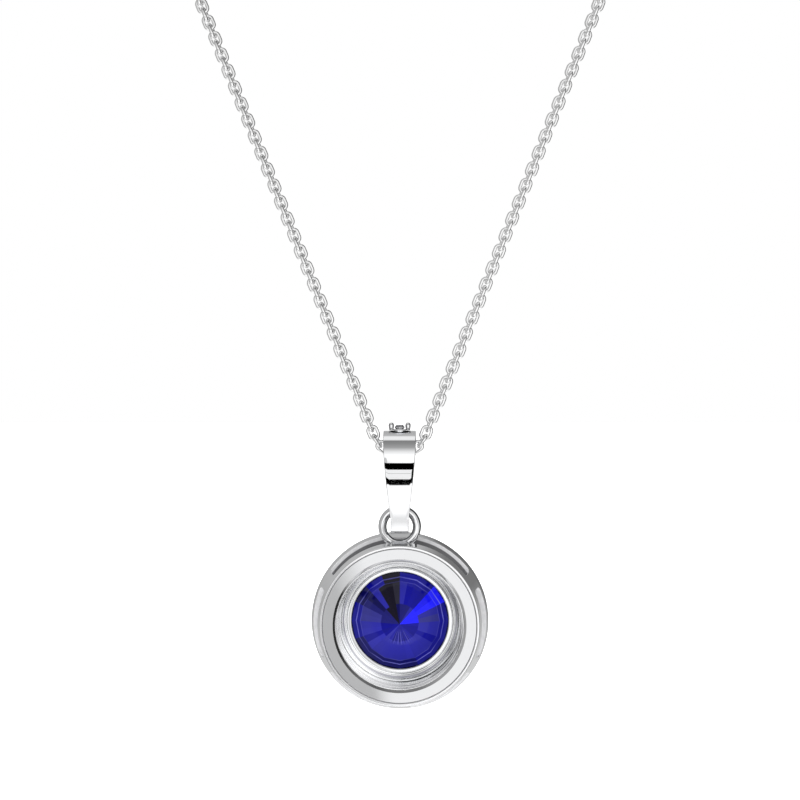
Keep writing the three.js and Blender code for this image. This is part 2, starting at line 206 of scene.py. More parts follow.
def turned(name, profile, sides=192, closed=True, crease=CREASE):
    """Turns (radius, height) points about the drum's axis. An open profile starts and ends on the axis."""
    points, faces, rows = [], [], []
    for r, h in profile:
        if r < 1e-6:
            rows.append([len(points)] * sides)
            points.append((0, -h, 0))
            continue
        rows.append(list(range(len(points), len(points) + sides)))
        points += [(r * math.cos(a), -h, r * math.sin(a)) for a in turns(sides)]
    pairs = list(zip(rows, rows[1:]))
    if closed:
        pairs.append((rows[-1], rows[0]))
    for low, high in pairs:
        for k in range(sides):
            n = (k + 1) % sides
            faces.append(list(dict.fromkeys((low[k], low[n], high[n], high[k]))))
    return weighted(mesh_object(name, points, faces, crease))


def loft(sections, closed=True):
    """Points and faces of a tube through equal closed sections."""
    count = len(sections[0])
    points = [p for section in sections for p in section]
    faces = []
    last = len(sections) if closed else len(sections) - 1
    for i in range(last):
        j = (i + 1) % len(sections)
        for k in range(count):
            n = (k + 1) % count
            faces.append((i * count + k, i * count + n, j * count + n, j * count + k))
    if not closed:
        faces.append(tuple(reversed(range(count))))
        faces.append(tuple(range((len(sections) - 1) * count, len(sections) * count)))
    return points, faces


def add_part(points, faces, more, quads):
    base = len(points)
    points += more
    faces += [tuple(base + i for i in quad) for quad in quads]


def stand_for(obj, body, material, slot, *nodes):
    obj.data.materials.clear()
    obj.data.materials.append(material)
    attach(obj, body)
    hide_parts(*nodes)
    return obj


# ---- node helpers
class Tree:
    """A small helper that adds nodes to a material's or the world's tree and links them."""

    def __init__(self, tree):
        self.tree = tree
        tree.nodes.clear()

    def add(self, kind, settings=None, **inputs):
        node = self.tree.nodes.new(kind)
        for key, value in (settings or {}).items():
            setattr(node, key, value)
        for key, value in inputs.items():
            self.put(node, key.replace("_", " "), value)
        return node

    def put(self, node, key, value):
        socket = node.inputs[int(key)] if key.isdigit() else node.inputs[key]
        if isinstance(value, bpy.types.NodeSocket):
            self.tree.links.new(value, socket)
        elif isinstance(value, bpy.types.Node):
            self.tree.links.new(value.outputs[0], socket)
        else:
            socket.default_value = value

    def maths(self, operation, a, b=0.0, clamp=False):
        node = self.tree.nodes.new("ShaderNodeMath")
        node.operation = operation
        node.use_clamp = clamp
        self.put(node, "0", a)
        self.put(node, "1", b)
        return node.outputs[0]

    def times(self, a, b):
        return self.maths("MULTIPLY", a, b)

    def over(self, a, b):
        return self.maths("DIVIDE", a, b)

    def plus(self, a, b, clamp=False):
        return self.maths("ADD", a, b, clamp)

    def minus(self, a, b, clamp=False):
        return self.maths("SUBTRACT", a, b, clamp)

    def split(self, vector):
        return self.add("ShaderNodeSeparateXYZ", Vector=vector).outputs

    def vector(self, x, y, z):
        node = self.add("ShaderNodeCombineXYZ")
        for key, value in (("X", x), ("Y", y), ("Z", z)):
            self.put(node, key, value)
        return node.outputs[0]

    def noise(self, place, scale, detail, roughness=0.5):
        node = self.add(
            "ShaderNodeTexNoise", Vector=place, Scale=scale, Detail=detail, Roughness=roughness)
        return node.outputs[0]

    def noise_round(self, around, scale, detail):
        return self.add(
            "ShaderNodeTexNoise", {"noise_dimensions": "1D"}, W=around, Scale=scale, Detail=detail)

    def vector_maths(self, operation, **inputs):
        return self.add("ShaderNodeVectorMath", {"operation": operation}, **inputs)

    def normal(self):
        return self.add("ShaderNodeTexCoord").outputs["Normal"]

    def finish(self, surface):
        self.add("ShaderNodeOutputMaterial", Surface=surface)

    def bump(self, height, strength, distance):
        return self.add("ShaderNodeBump", Height=height, Strength=strength, Distance=distance * MM)

    def length(self, a, b):
        return self.maths("SQRT", self.plus(self.times(a, a), self.times(b, b)))

    def step(self, value, low, high, soft):
        """1 where value lies between low and high, with edges this soft."""
        rise = self.ramp(value, low - soft / 2, low + soft / 2)
        fall = self.ramp(value, high - soft / 2, high + soft / 2)
        return self.minus(rise, fall)

    def ramp(self, value, low, high, start=0.0, end=1.0):
        node = self.tree.nodes.new("ShaderNodeMapRange")
        node.clamp = True
        ends = {"Value": value, "From Min": low, "From Max": high, "To Min": start, "To Max": end}
        for key, end_value in ends.items():
            self.put(node, key, end_value)
        return node.outputs[0]

    def mix(self, share, a, b, kind="FLOAT", first=2):
        """a where share is 0, b where it is 1."""
        node = self.tree.nodes.new("ShaderNodeMix")
        node.data_type = kind
        for key, value in ((0, share), (first, a), (first + 1, b)):
            self.put(node, str(key), value)
        return node.outputs[0 if kind == "FLOAT" else 2]

    def mix_colour(self, share, a, b):
        return self.mix(share, a, b, "RGBA", 6)

    def mix_shader(self, share, a, b):
        node = self.add("ShaderNodeMixShader")
        for key, value in enumerate((share, a, b)):
            self.put(node, str(key), value)
        return node


def new_material(name):
    material = bpy.data.materials.new(name)
    material.use_nodes = True
    return material, Tree(material.node_tree)


def millimetres(tree):
    """The point's place in the necklace's own frame, in millimetres."""
    place = tree.add("ShaderNodeTexCoord").outputs["Object"]
    return tree.vector_maths("SCALE", Vector=place, Scale=1 / MM).outputs[0]


# ---- materials
def polished_silver(
        name, colour=(0.93, 0.935, 0.945), base_rough=0.035, finish=None, cast_side=0, glow=None):
    """Rhodium-bright silver: a mirror with faint polishing swirls and fine hairline scratches."""
    material, tree = new_material(name)
    place = millimetres(tree)
    swirl = tree.noise(place, 1.7, 4.0, 0.6)
    stretch = tree.add("ShaderNodeMapping", {"vector_type": "POINT"}, Vector=place)
    stretch.inputs["Rotation"].default_value = (0.4, 0.3, 0.9)
    stretch.inputs["Scale"].default_value = (34.0, 1.6, 34.0)
    hairs = tree.noise(stretch, 1.0, 2.0, 0.5)
    hair_lines = tree.ramp(hairs, 0.66, 0.74)
    rough = tree.plus(base_rough, tree.times(swirl, base_rough))
    rough = tree.plus(rough, tree.times(hair_lines, 0.05))
    darker = tuple(c * 0.97 for c in colour)
    tone = tree.mix_colour(swirl, (*darker, 1), (*colour, 1))
    height = tree.times(swirl, 0.6)
    height = tree.plus(height, tree.times(hair_lines, -0.5))
    if finish:
        tone, height = finish(tree, place, tone, height)
    bump = tree.bump(height, 0.08, 0.002)
    shader = tree.add(
        "ShaderNodeBsdfPrincipled", Metallic=1.0, Base_Color=tone, Roughness=rough, Normal=bump)
    # Painted light: an optional white emission glow on the silver.
    if glow:
        tree.put(shader, "Emission Color", (1, 1, 1, 1))
        tree.put(shader, "Emission Strength", glow(tree, place))
    surface = with_cast_skin(tree, shader, place, swirl, cast_side) if cast_side else shader
    tree.finish(surface)
    return material


# Painted light on the cast skin: where the sills' painted shadow ends, the strength of the skin's painted
# glow, and the painted shadow's colour.
SILL_LIT = 7.47
RECESS_PAINTED_GLOW = 0.12
SHADOW = (0.11, 0.11, 0.115, 1)
# The cast skin's tone pairs by side; the inner side's (-1) darker pair is painted shade.
SHADED_AND_LIT_SKIN_TONES = {
    -1: ((0.5, 0.5, 0.51, 1), (0.74, 0.74, 0.75, 1)),
    1: ((0.6, 0.6, 0.61, 1), (0.82, 0.82, 0.83, 1)),
}


def with_cast_skin(tree, polished, place, swirl, side):
    """The side facing the drum's axis (-1) or away from it (1) keeps its pale matt casting skin. The skin
    carries painted light: painted shade in its tones, a painted shadow on the slots' sills, and a faint
    painted glow.
    """
    x, y, z = tree.split(place)
    outward = tree.vector_maths("NORMALIZE", Vector=tree.vector(x, 0.0, z))
    normal = tree.normal()
    facing = tree.vector_maths("DOT_PRODUCT", Vector=normal)
    tree.put(facing, "1", outward)
    share = tree.ramp(facing.outputs["Value"], 0.6 * side, 0.75 * side)
    skin = tree.mix_colour(swirl, *SHADED_AND_LIT_SKIN_TONES[side])
    if side < 0:
        share = tree.maths("MAXIMUM", share, slot_faces(tree, place, normal))
        skin = tree.mix_colour(sill_shadow(tree, place), skin, SHADOW)
    matt = tree.add("ShaderNodeBsdfDiffuse", Roughness=0.6, Color=skin)
    # Painted light: the skin glows faintly, a fill of light painted into the recesses.
    glow = tree.add("ShaderNodeEmission", Color=skin, Strength=RECESS_PAINTED_GLOW)
    lit = tree.add("ShaderNodeAddShader", Shader=matt)
    tree.put(lit, "1", glow)
    return tree.mix_shader(share, polished, lit)


def slot_faces(tree, place, normal):
    """1 on the slots' cut faces, which look straight ahead or back between the rim and the lip."""
    ahead = tree.times(tree.split(place)[1], -1.0)
    along = tree.maths("ABSOLUTE", tree.split(normal)[1])
    between = tree.step(ahead, RIM_H + 0.3, LIP_H - 0.6, 0.1)
    return tree.times(tree.ramp(along, 0.6, 0.75), between)


def sill_shadow(tree, place):
    """The inner part of the upper slots' sills, dark under the lip."""
    x, y, z = tree.split(place)
    radius = tree.length(x, z)
    from_inside = tree.minus(radius, tree.ramp(x, -4.5, -1.0, 7.2, 6.9))
    inner = tree.ramp(from_inside, -0.02, 0.02)
    outer = tree.ramp(radius, SILL_LIT - 0.03, SILL_LIT + 0.03, 1.0, 0.0)
    return tree.times(tree.times(inner, outer), tree.ramp(z, 2.4, 4.4, 0.0, 0.92))


def lathe_lines(tree, place, tone, height):
    lines = tree.times(turning_lines(tree, place), 0.35)
    return tone, tree.plus(height, lines)


def dark_edges(tree, place, tone, height):
    """Painted reflection: edges turned sideways are left a little greyer than the polished faces, standing
    in for the grey side walls they reflect.
    """
    sideways = tree.maths("ABSOLUTE", tree.split(tree.normal())[0])
    painted_edge_share = tree.times(tree.ramp(sideways, 0.3, 0.5), 0.75)
    return tree.mix_colour(painted_edge_share, tone, (0.3, 0.3, 0.31, 1)), height


def ring_wear(tree, place, tone, height):
    """Painted reflection streaks: fine grey lines round the hanging ring, closest together on its inner
    half.
    """
    x, y, z = tree.split(place)
    up = tree.minus(z, RING_MID.z)
    radius = tree.length(x, up)
    rings = tree.vector(tree.times(radius, 9.0), tree.times(x, 0.5), tree.times(up, 0.5))
    noise = tree.noise(rings, 1.0, 2.0)
    lines = tree.ramp(noise, 0.48, 0.58)
    inside = tree.ramp(radius, RING_R - 0.2, RING_R + 0.25, 0.75, 0.2)
    return tree.mix_colour(tree.times(lines, inside), tone, (0.2, 0.2, 0.21, 1)), height


def bowl_lines(tree, place, tone, height):
    """Turning lines, and broken dark rings painted in as reflection detail, denser at the lower right,
    where painted shade deepens them.
    """
    tone, height = lathe_lines(tree, place, tone, height)
    x, y, z = tree.split(place)
    radius = tree.length(x, z)
    across = tree.plus(tree.times(radius, 6.0), tree.times(y, 2.2))
    rings = tree.vector(across, tree.times(x, 0.12), tree.times(z, 0.12))
    noise = tree.noise(rings, 1.6, 3.0, 0.7)
    # Painted shade: the dark rings grow stronger towards the lower right and the top.
    toward = tree.minus(tree.times(x, 0.95), tree.times(z, 0.3))
    depth = tree.ramp(tree.over(toward, radius), -0.6, 0.9, 0.05, 0.62)
    depth = tree.maths("MAXIMUM", depth, tree.ramp(tree.over(z, radius), 0.6, 0.95, 0.0, 0.5))
    dark = tree.times(tree.ramp(noise, 0.46, 0.6), depth)
    return tree.mix_colour(dark, tone, (0.16, 0.16, 0.17, 1)), height


def floor_glow(tree, place):
    """Painted light: a glow on the bowl's lower left, standing in for light thrown up by the pale floor."""
    x, y, z = tree.split(place)
    radius = tree.length(x, z)
    toward = tree.plus(tree.times(x, -0.62), tree.times(z, -0.78))
    return tree.ramp(tree.over(toward, radius), 0.74, 1.0, 0.0, 0.24)


def turning_lines(tree, place):
    """Fine concentric lines about the drum's axis, left by the lathe and not quite polished out."""
    x, y, z = tree.split(place)
    across = tree.plus(tree.length(x, z), tree.times(y, 0.8))
    rings = tree.vector(tree.times(across, 46.0), 0.0, 0.0)
    return tree.noise(rings, 1.0, 3.0)


def spring_steel():
    """Drawn steel, satin, with lines along its length."""
    material, tree = new_material("drawn steel")
    place = millimetres(tree)
    stretch = tree.add("ShaderNodeMapping", Vector=place)
    stretch.inputs["Scale"].default_value = (2.0, 30.0, 30.0)
    lines = tree.noise(stretch, 1.0, 3.0)
    shader = tree.add(
        "ShaderNodeBsdfPrincipled", Metallic=1.0, Base_Color=(0.62, 0.62, 0.63, 1),
        Roughness=tree.ramp(lines, 0.3, 0.7, 0.18, 0.34), Normal=tree.bump(lines, 0.2, 0.004))
    tree.finish(shader)
    return material


# Painted light: the stone's facet tones are the brightness of its reflections, painted into its colour.
TONES = {
    "I": (0.004, 0.003, 0.010, 1),  # ink
    "i": (0.016, 0.015, 0.026, 1),  # pale ink
    "N": (0.002, 0.002, 0.060, 1),  # navy
    "D": (0.008, 0.008, 0.105, 1),  # dusk
    "d": (0.002, 0.002, 0.090, 1),  # deep
    "r": (0.002, 0.002, 0.165, 1),  # low royal
    "R": (0.003, 0.003, 0.205, 1),  # royal
    "V": (0.017, 0.017, 0.255, 1),  # violet
    "S": (0.024, 0.024, 0.180, 1),  # slate
    "E": (0.010, 0.010, 0.760, 1),  # electric
    "e": (0.005, 0.005, 0.620, 1),  # low electric
}
# The colour of the painted reflection lines seen through the stone.
LILAC = (0.16, 0.16, 0.62, 1)
# Two half facets a pair, from the stone's right side round by its top.
STAR_TONES = "EE EE VD DD NI II DD DD rr rr VR rr rr rR rr rR"
MAIN_TONES = "SV Ee RR RV iI IV ND SS VV RV VV VV VV VV VR VV"
RIM_TONES = "RR EE RR RR II RR NN RR RR dd dd dd dd RR RR RR"


def facet_tones(tree, around, tones):
    """A tone for each half of the stone's facets, by how far round the stone the point is."""
    letters = tones.replace(" ", "")
    node = tree.add("ShaderNodeValToRGB", Fac=around)
    ramp = node.color_ramp
    ramp.interpolation = "CONSTANT"
    ramp.elements.remove(ramp.elements[1])
    ramp.elements[0].position = 0.0
    ramp.elements[0].color = TONES[letters[0]]
    for i in range(1, len(letters)):
        ramp.elements.new(i / len(letters)).color = TONES[letters[i]]
    return node.outputs[0]


def facet_place(tree):
    """How far round the stone a point is (0 to 1), and how far out on its facet, 1 on the girdle's flat."""
    x, y, z = tree.split(millimetres(tree))
    turn = tree.over(tree.maths("ARCTAN2", z, x), 2 * math.pi)
    around = tree.maths("FRACT", tree.plus(turn, 1.0))
    radius = tree.over(tree.length(x, z), STONE_R)
    on_facet = tree.minus(tree.maths("FRACT", tree.times(around, STONE_SIDES)), 0.5)
    lean = tree.maths("COSINE", tree.times(on_facet, 2 * math.pi / STONE_SIDES))
    out = tree.over(tree.times(radius, lean), math.cos(math.pi / STONE_SIDES))
    return around, out


def blue_crystal():
    """Deep blue pointed stone with a foiled back: the light each facet returns is painted into its colour,
    and the stone glows faintly with it.
    """
    material, tree = new_material("blue crystal")
    around, out = facet_place(tree)
    star = facet_tones(tree, around, STAR_TONES)
    main = facet_tones(tree, around, MAIN_TONES)
    rim = facet_tones(tree, around, RIM_TONES)
    tone = tree.mix_colour(tree.step(out, 0.38, 9.0, 0.015), star, main)
    tone = tree.mix_colour(tree.step(out, 0.79, 9.0, 0.015), tone, rim)
    tone = pavilion_lines(tree, tone, around, out)
    half = tree.maths("FLOOR", tree.times(around, STONE_SIDES * 2))
    halves = tree.add("ShaderNodeTexWhiteNoise", {"noise_dimensions": "1D"}, W=half)
    # Painted light: each half facet a little lighter or darker at random, and a painted shadow turning the
    # outer edge near black.
    shade = tree.ramp(halves, 0.0, 1.0, 0.9, 1.08)
    shade = tree.times(shade, tree.ramp(out, 0.955, 0.985, 1.0, 0.12))
    shaded = tree.vector_maths("SCALE", Vector=tone, Scale=shade)
    seen = tree.add("ShaderNodeLightPath")
    shaded = tree.mix_colour(seen.outputs["Is Glossy Ray"], shaded, (0.3, 0.3, 0.34, 1))
    # Painted light: the stone glows faintly in its own painted colour.
    skin = tree.add(
        "ShaderNodeBsdfPrincipled", Roughness=0.01, IOR=1.3,
        Base_Color=shaded, Emission_Color=shaded, Emission_Strength=0.25)
    tree.finish(skin)
    return material


def pavilion_lines(tree, tone, around, out):
    """Painted reflections of the back facets' edges, as if seen through the front: two light sixteen-sided
    lines and fine spokes.
    """
    strength = tree.ramp(tree.noise_round(around, 9.0, 1.0), 0.35, 0.65, 0.15, 0.8)
    outer = tree.step(out, 0.868, 0.885, 0.012)
    inner = tree.step(out, 0.79, 0.80, 0.012)
    lines = tree.plus(outer, tree.times(inner, 0.5), clamp=True)
    tone = tree.mix_colour(tree.times(lines, strength), tone, LILAC)
    spokes = tree.noise_round(around, 70.0, 2.0)
    low_side = tree.step(around, 0.66, 0.86, 0.04)
    near = tree.times(tree.step(out, 0.14, 0.42, 0.08), low_side)
    light = tree.times(tree.ramp(spokes, 0.52, 0.68), near)
    dark = tree.times(tree.ramp(spokes, 0.48, 0.36), near)
    tone = tree.mix_colour(tree.times(light, 0.3), tone, LILAC)
    return tree.mix_colour(tree.times(dark, 0.5), tone, TONES["N"])


def clear_crystal():
    """Clear cut stone with faint polishing marks on its facets."""
    material, tree = new_material("clear crystal")
    marks = tree.noise(millimetres(tree), 9.0, 3.0)
    tone = tree.mix_colour(marks, (0.6, 0.61, 0.64, 1), (0.8, 0.8, 0.82, 1))
    glass = tree.add(
        "ShaderNodeBsdfPrincipled", Transmission_Weight=1.0, IOR=2.2, Base_Color=tone,
        Roughness=tree.ramp(marks, 0.3, 0.7, 0.002, 0.02), Normal=tree.bump(marks, 0.05, 0.001))
    tree.finish(glass)
    return material


# ---- drum
def wall_radius(h):
    """Outer radius of the cone-shaped wall at a height."""
    return RIM_R + (LIP_R - RIM_R) * (h - RIM_H) / (LIP_FOOT - RIM_H)


def slot_outline(angle, height, half_angle, low, high, corner):
    """The point of a slot's rounded outline for a point on the edge of a square of -1 to 1."""
    radius = wall_radius((low + high) / 2)
    half_wide = half_angle * radius
    half_tall = (high - low) / 2
    x = angle * half_wide
    y = height * half_tall
    inner_x, inner_y = half_wide - corner, half_tall - corner
    if abs(x) > inner_x and abs(y) > inner_y:
        dx, dy = abs(x) - inner_x, abs(y) - inner_y
        scale = corner / math.hypot(dx, dy)
        x = math.copysign(inner_x + dx * scale, x)
        y = math.copysign(inner_y + dy * scale, y)
    return x / radius, (low + high) / 2 + y


def sector_edge(across, up):
    """Points round a square of -1 to 1, with so many steps along each level and upright side."""
    def spread(n):
        return [-math.cos(math.pi * i / n) for i in range(n + 1)]

    low = [(x, -1.0) for x in spread(across)]
    right = [(1.0, y) for y in spread(up)[1:-1]]
    high = [(x, 1.0) for x in reversed(spread(across))]
    left = [(-1.0, y) for y in reversed(spread(up)[1:-1])]
    return low + right + high + left


SKIN_LOW = RIM_H + 0.5
SKIN_HIGH = LIP_H - 0.72
SLOT_EDGE = 0.045
SILL_RISE = 0.03


def slot_row(square, put, centre, inside, share, bite):
    """One row round a slot, from the sector's edge (share 0) to the slot's and over its soft edge."""
    half_sector = math.pi / SLOTS
    mid, half_skin = (SKIN_LOW + SKIN_HIGH) / 2, (SKIN_HIGH - SKIN_LOW) / 2
    low = SLOT_LOW + (SILL_RISE if inside else 0.0)
    row = []
    for x, y in square:
        wide_angle, wide_h = slot_outline(
            x, y, SLOT_HALF_ANGLE + SLOT_EDGE / RIM_R, low - SLOT_EDGE, SLOT_HIGH + SLOT_EDGE,
            SLOT_CORNER + SLOT_EDGE)
        tight_angle, tight_h = slot_outline(x, y, SLOT_HALF_ANGLE, low, SLOT_HIGH, SLOT_CORNER)
        hole_angle = wide_angle + (tight_angle - wide_angle) * bite
        hole_h = wide_h + (tight_h - wide_h) * bite
        angle = x * half_sector * (1 - share) + hole_angle * share
        h = (mid + y * half_skin) * (1 - share) + hole_h * share
        sink = SLOT_EDGE * (1 - math.sqrt(1 - bite ** 2))
        radius = wall_radius(h) - WALL + sink if inside else wall_radius(h) - sink
        row.append(put(centre + angle, h, radius))
    return row


def join_rows(rows, faces):
    for a, b in zip(rows, rows[1:]):
        for k in range(len(a)):
            n = (k + 1) % len(a)
            faces.append((a[k], a[n], b[n], b[k]))


def slotted_wall():
    """The drum's side wall: a turned shell whose six slots have rounded corners and softened edges."""
    across, up = 40, 10
    square = sector_edge(across, up)
    points, faces, index = [], [], {}

    def put(angle, h, r):
        key = (round(angle % (2 * math.pi), 6) % 6.283185, round(h, 5), round(r, 5))
        if key not in index:
            index[key] = len(points)
            points.append((r * math.cos(angle), -h, r * math.sin(angle)))
        return index[key]

    steps = [(share, 0.0) for share in (0.0, 0.35, 0.75, 0.97)]
    steps += [(1.0, bite) for bite in (0.0, 0.4, 0.8, 1.0)]
    angles = []
    for s in range(SLOTS):
        centre = 2 * math.pi * s / SLOTS
        outer = [slot_row(square, put, centre, False, *step) for step in steps]
        inner = [slot_row(square, put, centre, True, *step) for step in steps]
        join_rows(outer, faces)
        join_rows(inner, faces)
        join_rows([outer[-1], inner[-1]], faces)
        angles += [centre - math.pi / SLOTS * math.cos(math.pi * i / across) for i in range(across)]
    for chain in (wall_front(), wall_rear()):
        join_rows([[put(a, h, r) for a in angles] for r, h in chain], faces)
    return points, faces


def wall_front():
    """Profile over the front lip, down to the face ring's ledge and on to the wall's inner skin."""
    ledge = FACE_BACK - GAP
    inner = FACE_OUT + FACE_GAP
    return rounded([
        (wall_radius(SKIN_HIGH), SKIN_HIGH), (LIP_R, LIP_FOOT), (LIP_R, LIP_H), (inner, LIP_H),
        (inner, ledge), (6.3, ledge), (6.3, ledge - 0.22), (wall_radius(SKIN_HIGH) - WALL, SKIN_HIGH),
    ], [0, 0.05, 0.14, 0.03, 0.02, 0.04, 0.04, 0], 5)


def wall_rear():
    return rounded([
        (wall_radius(SKIN_LOW) - WALL, SKIN_LOW), (RIM_R - WALL, RIM_H), (RIM_R, RIM_H),
        (RIM_R, RIM_H + 0.16), (wall_radius(SKIN_LOW), SKIN_LOW),
    ], [0, 0.05, 0.06, 0.1, 0], 5)


def cut_saddle(obj):
    """The notch across the wall's top in which the hanging ring stands, cut at millimetre scale."""
    radius = RING_R + RING_WIRE + GAP
    sections = []
    for side in (-1, 1):
        y = RING_MID.y + side * (RING_WIRE + GAP)
        sections.append([
            (RING_MID.x + radius * math.cos(a), y, RING_MID.z + radius * math.sin(a))
            for a in turns(96)])
    points, faces = loft(sections, closed=False)
    cutter = mesh_object("saddle cutter", points, faces)
    for o in (obj, cutter):
        o.data.transform(Matrix.Scale(1 / MM, 4))
    modifier = obj.modifiers.new("saddle", "BOOLEAN")
    modifier.object = cutter
    modifier.operation = "DIFFERENCE"
    modifier.solver = "EXACT"
    depsgraph = bpy.context.evaluated_depsgraph_get()
    mesh = bpy.data.meshes.new_from_object(obj.evaluated_get(depsgraph))
    obj.modifiers.clear()
    obj.data = mesh
    mesh.transform(Matrix.Scale(MM, 4))
    bpy.data.objects.remove(cutter)
    mesh.shade_smooth()
    mesh.set_sharp_from_angle(angle=math.radians(CREASE))
    return obj


def make_drum(silver, wall_silver, lathe_silver, bowl_silver, mirror, crystal):
    points, faces = slotted_wall()
    wall = cut_saddle(mesh_object("wall_shell", points, faces))
    stand_for(weighted(wall), "drum", wall_silver, "silver", "drum_wall")

    face = turned("face_mirror", rounded([
        (FACE_IN, FACE_BACK), (FACE_IN, FACE_H - FACE_BEVEL_DEEP), (FACE_IN + FACE_BEVEL, FACE_H),
        (FACE_OUT, FACE_H), (FACE_OUT, FACE_BACK),
    ], [0.05, 0.012, 0.012, 0.03, 0.05], 3))
    stand_for(face, "drum", mirror, "silver", "face_ring")

    foot = COLLET_R + GAP
    top = -bowl_low.y
    bowl = turned("bowl_dish", rounded([
        (foot, RIM_H), (foot, 2.72), (4.94, 2.72), (4.94, 2.96), (5.0, 2.96), (5.16, 3.15), (5.3, 3.7),
        (5.38, 4.45), (5.38, 4.7), (5.46, 4.7), (5.46, 5.2), (5.53, 5.2), (5.57, top),
        (BOWL_R, top), (BOWL_R, 4.4), (5.5, 4.2), (5.36, 3.2), (5.1, RIM_H),
    ], [0.02, 0.04, 0.04, 0.05, 0.05, 0.2, 0.35, 0.04, 0.04, 0.05, 0.05, 0.04, 0.035,
        0.02, 0.1, 0.1, 0.1, 0.03], 6))
    stand_for(bowl, "drum", bowl_silver, "silver", "reflector_bowl")

    collet = turned("bezel_cup", rounded([
        (4.25, COLLET_FOOT), (4.25, GIRDLE_LOW - 0.3), (STONE_R + 0.04, GIRDLE_LOW - 0.08),
        (STONE_R + 0.04, GIRDLE_HIGH + 0.05), (LIP_IN, GIRDLE_HIGH + 0.1), (LIP_IN + 0.02, COLLET_TOP),
        (COLLET_R, COLLET_TOP), (COLLET_R, COLLET_FOOT),
    ], [0.05, 0.05, 0.02, 0.02, 0.01, 0.08, 0.16, 0.05], 6))
    stand_for(collet, "drum", silver, "silver", "bezel_collet")

    cover = turned("back_shell", [(0, 0)] + rounded([
        (5.3, 0), (5.75, 0.2), (COVER_R, RIM_H - GAP - 0.16), (COVER_R, RIM_H - GAP),
        (RIM_R - WALL, RIM_H - GAP), (5.5, 0.45),
    ], [0.25, 0.5, 0.1, 0.05, 0.05, 0.2], 6) + [(0, 0.45)], closed=False)
    stand_for(cover, "drum", lathe_silver, "silver", "back_cover")

    stand_for(cut_stone(), "drum", crystal, "blue_stone", "blue_stone")


def cut_stone():
    """Pointed stone: sixteen crown facets, a polished girdle and sixteen pavilion facets."""
    points, faces = [], []
    for h in (GIRDLE_LOW, GIRDLE_HIGH):
        points += [(STONE_R * math.cos(a), -h, STONE_R * math.sin(a)) for a in turns(STONE_SIDES)]
    tip, culet = len(points), len(points) + 1
    points += [(0, -STONE_TIP, 0), (0, -CULET, 0)]
    for k in range(STONE_SIDES):
        n = (k + 1) % STONE_SIDES
        faces.append((k, n, n + STONE_SIDES, k + STONE_SIDES))
        faces.append((k + STONE_SIDES, n + STONE_SIDES, tip))
        faces.append((n, k, culet))
    return mesh_object("rivoli_stone", points, faces, crease=1.0)


# ---- ring, bail and accent
def round_wire_ring(node, name, body, silver, around=144, wire_sides=32):
    """A ring of round wire, as large as its CAD node and lying in the same plane."""
    low, high = box_mm(node)
    size = high - low
    thin = min(range(3), key=lambda axis: size[axis])
    first, second = [axis for axis in range(3) if axis != thin]
    wire = size[thin] / 2
    radius = size[second] / 2 - wire
    sections = []
    for a in turns(around):
        section = []
        for b in turns(wire_sides):
            point = (low + high) / 2
            point[first] += (radius + wire * math.cos(b)) * math.cos(a)
            point[second] += (radius + wire * math.cos(b)) * math.sin(a)
            point[thin] += wire * math.sin(b)
            section.append(point)
        sections.append(section)
    points, faces = loft(sections)
    stand_for(mesh_object(name, points, faces), body, silver, "silver", node)


BAIL_TOP_R = (bail_high.y - bail_low.y) / 2
BAIL_TOP_Z = bail_high.z - BAIL_TOP_R
BAIL_FOOT = bail_low.z + 0.05
BAIL_SLOPE = 0.22
BAIL_EASE = 1.0
BAIL_FOOT_R = 0.4
BAIL_THICK = 0.5
BAIL_EYE_Z = 9.96
BAIL_EYE_R = 0.6


def bail_half_width(z):
    t = min(1.0, max(0.0, (z - 9.3) / 7.9))
    return 0.8 + 0.64 * math.sin(math.pi / 2 * t)


def bail_outside(steps_top=40, steps_side=60, steps_foot=24):
    """Right half of the bail's outside, seen from its side, from the crest down: (depth, height)."""
    points = []
    for i in range(steps_top):
        a = math.pi / 2 * (1 - i / steps_top)
        points.append((BAIL_TOP_R * math.cos(a), BAIL_TOP_Z + BAIL_TOP_R * math.sin(a)))
    lean = math.atan(BAIL_SLOPE)
    foot_z = BAIL_FOOT + BAIL_FOOT_R
    join = foot_z - BAIL_FOOT_R * math.sin(lean)
    for i in range(steps_side + 1):
        drop = (BAIL_TOP_Z - join) * i / steps_side
        depth = BAIL_TOP_R - BAIL_SLOPE * (math.hypot(drop, BAIL_EASE) - BAIL_EASE)
        points.append((depth, BAIL_TOP_Z - drop))
    last = points[-1][0]
    for i in range(1, steps_foot + 1):
        a = -lean - (math.pi / 2 - lean) * i / steps_foot
        scale = last / (BAIL_FOOT_R * math.cos(lean))
        points.append((BAIL_FOOT_R * math.cos(a) * scale, foot_z + BAIL_FOOT_R * math.sin(a)))
    return points


def bail_inside(steps_top=40, steps_side=60, steps_foot=24):
    radius = BAIL_TOP_R - BAIL_THICK
    lean = math.asin((radius - BAIL_EYE_R) / (BAIL_TOP_Z - BAIL_EYE_Z))
    points = []
    for i in range(steps_top):
        a = math.pi / 2 - (math.pi / 2 + lean) * i / steps_top
        points.append((radius * math.cos(a), BAIL_TOP_Z + radius * math.sin(a)))
    start = Vector((radius * math.cos(lean), BAIL_TOP_Z - radius * math.sin(lean)))
    end = Vector((BAIL_EYE_R * math.cos(lean), BAIL_EYE_Z - BAIL_EYE_R * math.sin(lean)))
    for i in range(steps_side + 1):
        points.append(tuple(start.lerp(end, i / steps_side)))
    for i in range(1, steps_foot + 1):
        a = -lean - (math.pi / 2 - lean) * i / steps_foot
        points.append((BAIL_EYE_R * math.cos(a), BAIL_EYE_Z + BAIL_EYE_R * math.sin(a)))
    return points


def mirrored(half):
    return half + [(-x, z) for x, z in reversed(half[1:-1])]


SHOULDER = 0.24
SHOULDER_DROP = 0.009


